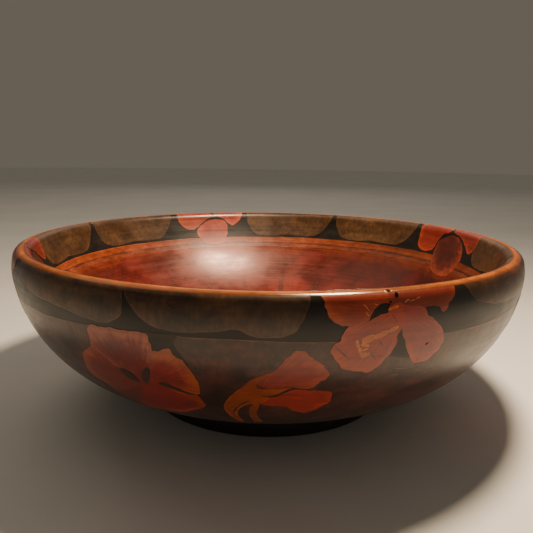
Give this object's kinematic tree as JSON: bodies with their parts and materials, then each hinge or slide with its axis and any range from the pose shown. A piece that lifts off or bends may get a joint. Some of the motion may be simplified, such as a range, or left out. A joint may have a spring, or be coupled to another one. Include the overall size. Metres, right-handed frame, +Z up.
{
  "type": "painted wooden bowl",
  "caption": "Wide turned wooden bowl with a rounded lip and a low glued foot, painted inside and out with hanging scallops, broad flowers and a dark field.",
  "frame": {"origin": "centre of the foot's underside, on the surface the bowl stands on", "axes": "+Z up along the bowl's turning axis; -Y faces the front, where one scallop is beside a rim flower"},
  "size_m": [0.2806, 0.2806, 0.0928],
  "materials": {
    "turned_wood": "satin",
    "foot_black": "satin lacquer",
    "rim_orange_brown": "worn satin lacquer",
    "ground_black": "satin lacquer",
    "ring_orange": "satin lacquer",
    "floor_maroon": "gloss lacquer",
    "floor_red": "gloss lacquer",
    "scallop_olive": "satin lacquer",
    "field_mauve_brown": "satin lacquer",
    "petal_red_orange": "satin lacquer",
    "stamen_ochre": "satin lacquer",
    "petal_orange": "satin lacquer",
    "stem_orange": "satin lacquer"
  },
  "bodies": {
    "root": {"bowl_body": "turned_wood", "foot": "foot_black", "rim_band": "rim_orange_brown", "outer_ground": "ground_black", "inner_ground": "ground_black", "inner_ring": "ring_orange", "floor_field": "floor_maroon", "floor_flower": "floor_red", "outer_scallops": "scallop_olive", "inner_scallops": "scallop_olive", "lower_field": "field_mauve_brown", "rim_flowers": "petal_red_orange", "rim_flower_stamens": "stamen_ochre", "inner_flowers": "petal_red_orange", "side_flowers": "petal_orange", "side_buds": "petal_red_orange", "bud_stems": "stem_orange"}
  },
  "joints": []
}
